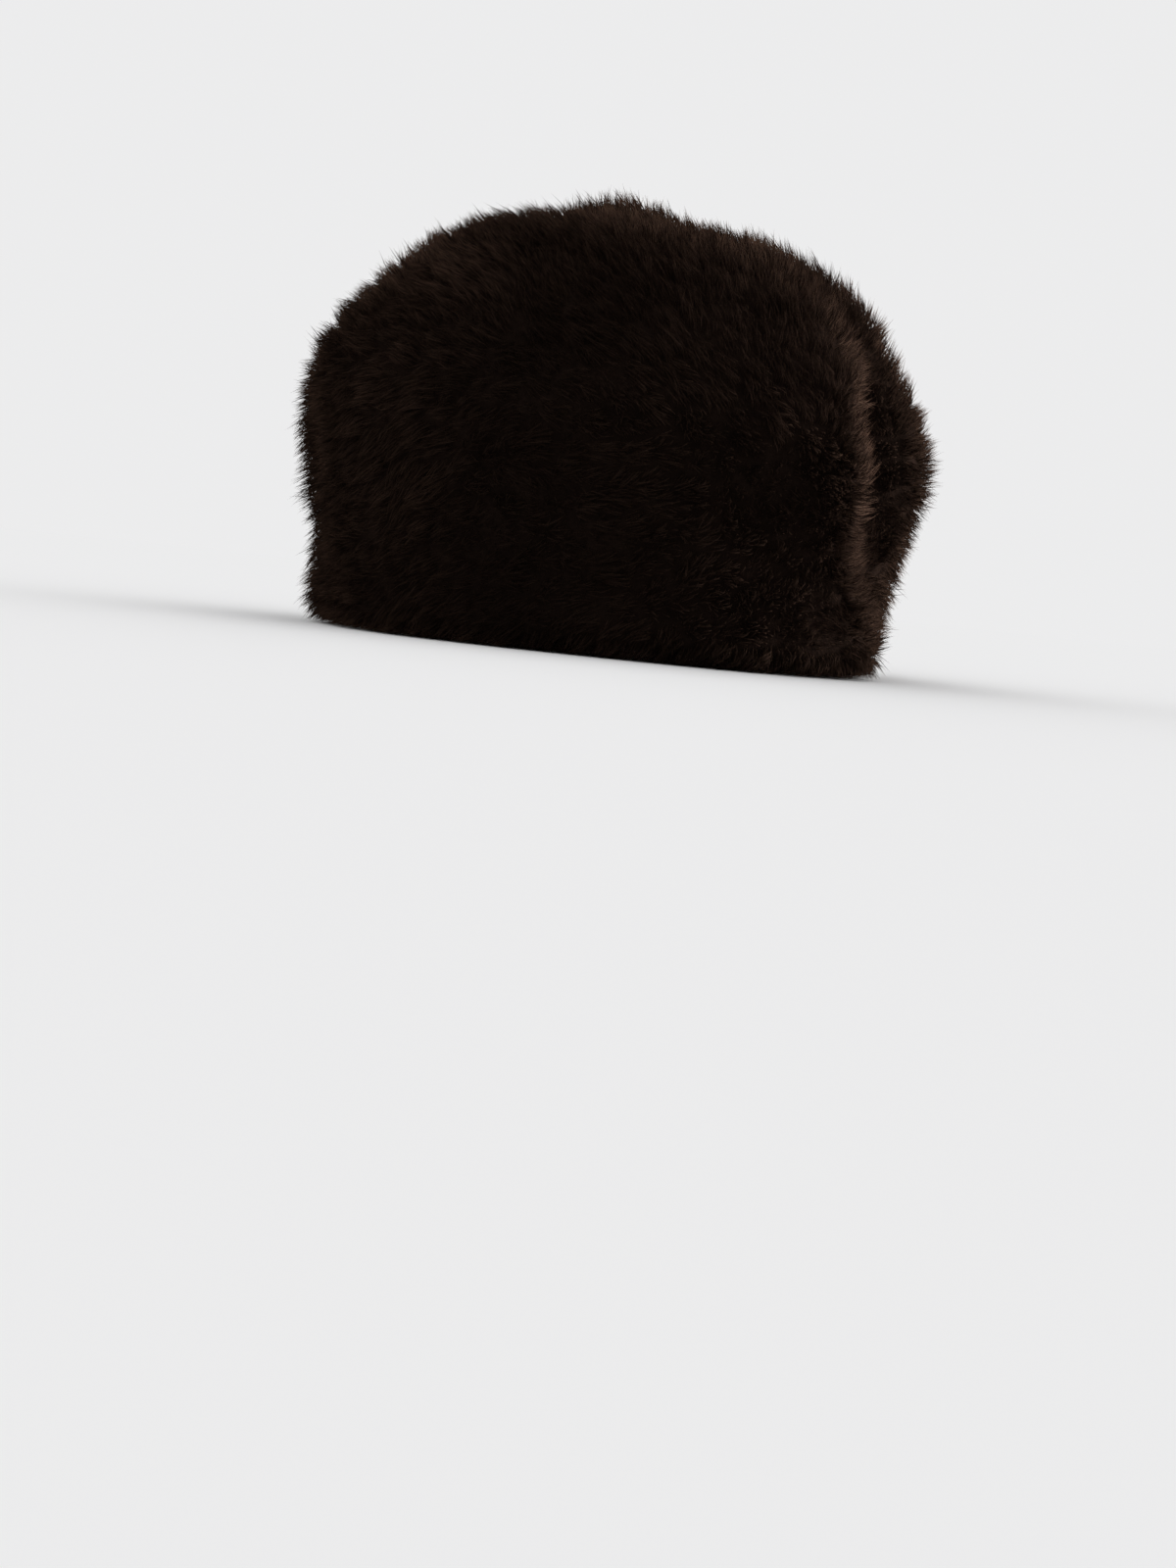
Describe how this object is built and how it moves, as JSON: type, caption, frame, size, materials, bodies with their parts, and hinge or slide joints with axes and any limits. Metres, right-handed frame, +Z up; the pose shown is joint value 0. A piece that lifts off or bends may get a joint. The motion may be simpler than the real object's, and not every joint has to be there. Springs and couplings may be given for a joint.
{
  "type": "turkmen telpek fur hat",
  "caption": "Tall round dark brown fur hat with a domed crown, a rim that rolls under and is turned in, and a woven lining, resting on its rim.",
  "frame": {"origin": "on the floor at the middle of the hat, in the plane of the rim's flat", "axes": "+Z up, from the rim to the crown; the hat's front faces -Y; +X is its wider way"},
  "size_m": [0.3023, 0.2865, 0.213],
  "materials": {
    "fur": "deep plush dark brown pile",
    "lining_cloth": "near black woven cloth"
  },
  "bodies": {
    "root": {"side_band": "fur", "crown": "fur", "lining": "lining_cloth"}
  },
  "joints": []
}
